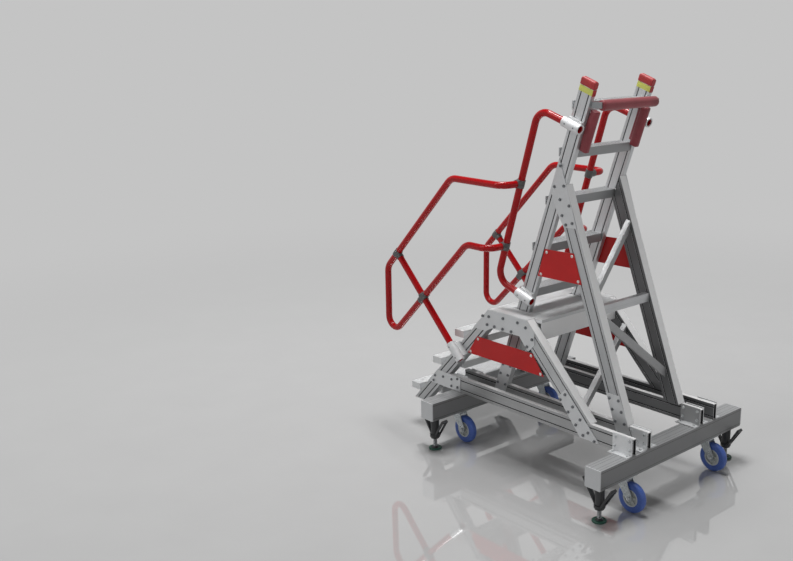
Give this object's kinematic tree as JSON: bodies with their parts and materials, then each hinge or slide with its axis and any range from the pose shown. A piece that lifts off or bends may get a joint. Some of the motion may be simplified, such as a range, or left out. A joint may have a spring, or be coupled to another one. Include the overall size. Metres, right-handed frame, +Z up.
{
  "type": "aircraft maintenance stand",
  "caption": "Wheeled aluminium access stand with a short stair, a platform, a leaning ladder frame, red tube handrails, foam buffers, swivel casters and screw-down jack feet.",
  "frame": {"origin": "on the floor, at the middle of the whole box", "axes": "+X towards the aircraft, the way the ladder leans; +Y across; +Z up"},
  "size_m": [1.9443, 1.2, 2.101],
  "materials": {
    "aluminium": "satin",
    "aluminium_plate": "satin",
    "tread_aluminium": "satin",
    "clamp_aluminium": "satin",
    "grey_plastic": "satin",
    "red_plate": "satin",
    "red_tube": "gloss",
    "red_foam": "satin",
    "galvanised_steel": "satin",
    "black_steel": "satin",
    "blue_tyre": "satin",
    "grey_hub": "satin",
    "green_pad": "matte"
  },
  "bodies": {
    "frame": {"crossbeams": "aluminium", "crossbeam_end_caps": "grey_plastic", "outer_base_rails": "aluminium", "inner_base_rails": "aluminium", "corner_brackets": "aluminium_plate", "stair_stringers": "aluminium", "back_legs": "aluminium", "platform_side_beams": "aluminium", "platform_front_beam": "aluminium", "knee_plates": "aluminium_plate", "rear_gusset_plates": "aluminium_plate", "stair_treads": "tread_aluminium", "platform_deck": "tread_aluminium", "ladder_stringers": "aluminium", "ladder_rungs": "tread_aluminium", "ladder_top_shelf": "tread_aluminium", "front_legs": "aluminium", "apex_gusset_plates": "aluminium_plate", "leg_splice_plates": "aluminium_plate", "leg_diagonal_braces": "aluminium", "leg_cross_bar": "aluminium", "upper_sign_plates": "red_plate", "lower_sign_plates": "red_plate", "ladder_handrails": "red_tube", "ladder_rail_blocks": "clamp_aluminium", "handrail_cross_tubes": "red_tube", "stair_handrail_right": "red_tube", "stair_handrail_left": "red_tube", "handrail_clamps": "clamp_aluminium", "stair_rail_sockets": "clamp_aluminium", "stringer_caps": "red_foam", "head_foam_roll": "red_foam", "foam_roll_brackets": "aluminium_plate", "side_foam_pads": "red_foam", "caster_plates": "galvanised_steel", "jack_bodies": "black_steel", "jack_pedals": "black_steel"},
    "swivel_rear_right": {"caster_fork_rear_right": "galvanised_steel", "caster_axle_rear_right": "galvanised_steel"},
    "wheel_rear_right": {"wheel_tyre_rear_right": "blue_tyre", "wheel_hub_rear_right": "grey_hub"},
    "jack_rear_right": {"jack_foot_rear_right": "green_pad"},
    "swivel_rear_left": {"caster_fork_rear_left": "galvanised_steel", "caster_axle_rear_left": "galvanised_steel"},
    "wheel_rear_left": {"wheel_tyre_rear_left": "blue_tyre", "wheel_hub_rear_left": "grey_hub"},
    "jack_rear_left": {"jack_foot_rear_left": "green_pad"},
    "swivel_front_right": {"caster_fork_front_right": "galvanised_steel", "caster_axle_front_right": "galvanised_steel"},
    "wheel_front_right": {"wheel_tyre_front_right": "blue_tyre", "wheel_hub_front_right": "grey_hub"},
    "jack_front_right": {"jack_foot_front_right": "green_pad"},
    "swivel_front_left": {"caster_fork_front_left": "galvanised_steel", "caster_axle_front_left": "galvanised_steel"},
    "wheel_front_left": {"wheel_tyre_front_left": "blue_tyre", "wheel_hub_front_left": "grey_hub"},
    "jack_front_left": {"jack_foot_front_left": "green_pad"}
  },
  "joints": [
    {"name": "swivel_rear_right", "type": "hinge", "parent": "frame", "child": "swivel_rear_right", "pos_m": [-0.381, -0.35, 0.169], "axis": [0, 0, 1], "continuous": true},
    {"name": "wheel_rear_right", "type": "hinge", "parent": "swivel_rear_right", "child": "wheel_rear_right", "pos_m": [-0.331, -0.35, 0.08], "axis": [0, 1, 0], "continuous": true},
    {"name": "jack_rear_right", "type": "slide", "parent": "frame", "child": "jack_rear_right", "axis": [0, 0, 1], "range_m": [0, 0.04]},
    {"name": "swivel_rear_left", "type": "hinge", "parent": "frame", "child": "swivel_rear_left", "pos_m": [-0.381, 0.35, 0.169], "axis": [0, 0, 1], "continuous": true},
    {"name": "wheel_rear_left", "type": "hinge", "parent": "swivel_rear_left", "child": "wheel_rear_left", "pos_m": [-0.331, 0.35, 0.08], "axis": [0, 1, 0], "continuous": true},
    {"name": "jack_rear_left", "type": "slide", "parent": "frame", "child": "jack_rear_left", "axis": [0, 0, 1], "range_m": [0, 0.04]},
    {"name": "swivel_front_right", "type": "hinge", "parent": "frame", "child": "swivel_front_right", "pos_m": [0.843, -0.35, 0.169], "axis": [0, 0, 1], "continuous": true},
    {"name": "wheel_front_right", "type": "hinge", "parent": "swivel_front_right", "child": "wheel_front_right", "pos_m": [0.893, -0.35, 0.08], "axis": [0, 1, 0], "continuous": true},
    {"name": "jack_front_right", "type": "slide", "parent": "frame", "child": "jack_front_right", "axis": [0, 0, 1], "range_m": [0, 0.04]},
    {"name": "swivel_front_left", "type": "hinge", "parent": "frame", "child": "swivel_front_left", "pos_m": [0.843, 0.35, 0.169], "axis": [0, 0, 1], "continuous": true},
    {"name": "wheel_front_left", "type": "hinge", "parent": "swivel_front_left", "child": "wheel_front_left", "pos_m": [0.893, 0.35, 0.08], "axis": [0, 1, 0], "continuous": true},
    {"name": "jack_front_left", "type": "slide", "parent": "frame", "child": "jack_front_left", "axis": [0, 0, 1], "range_m": [0, 0.04]}
  ]
}
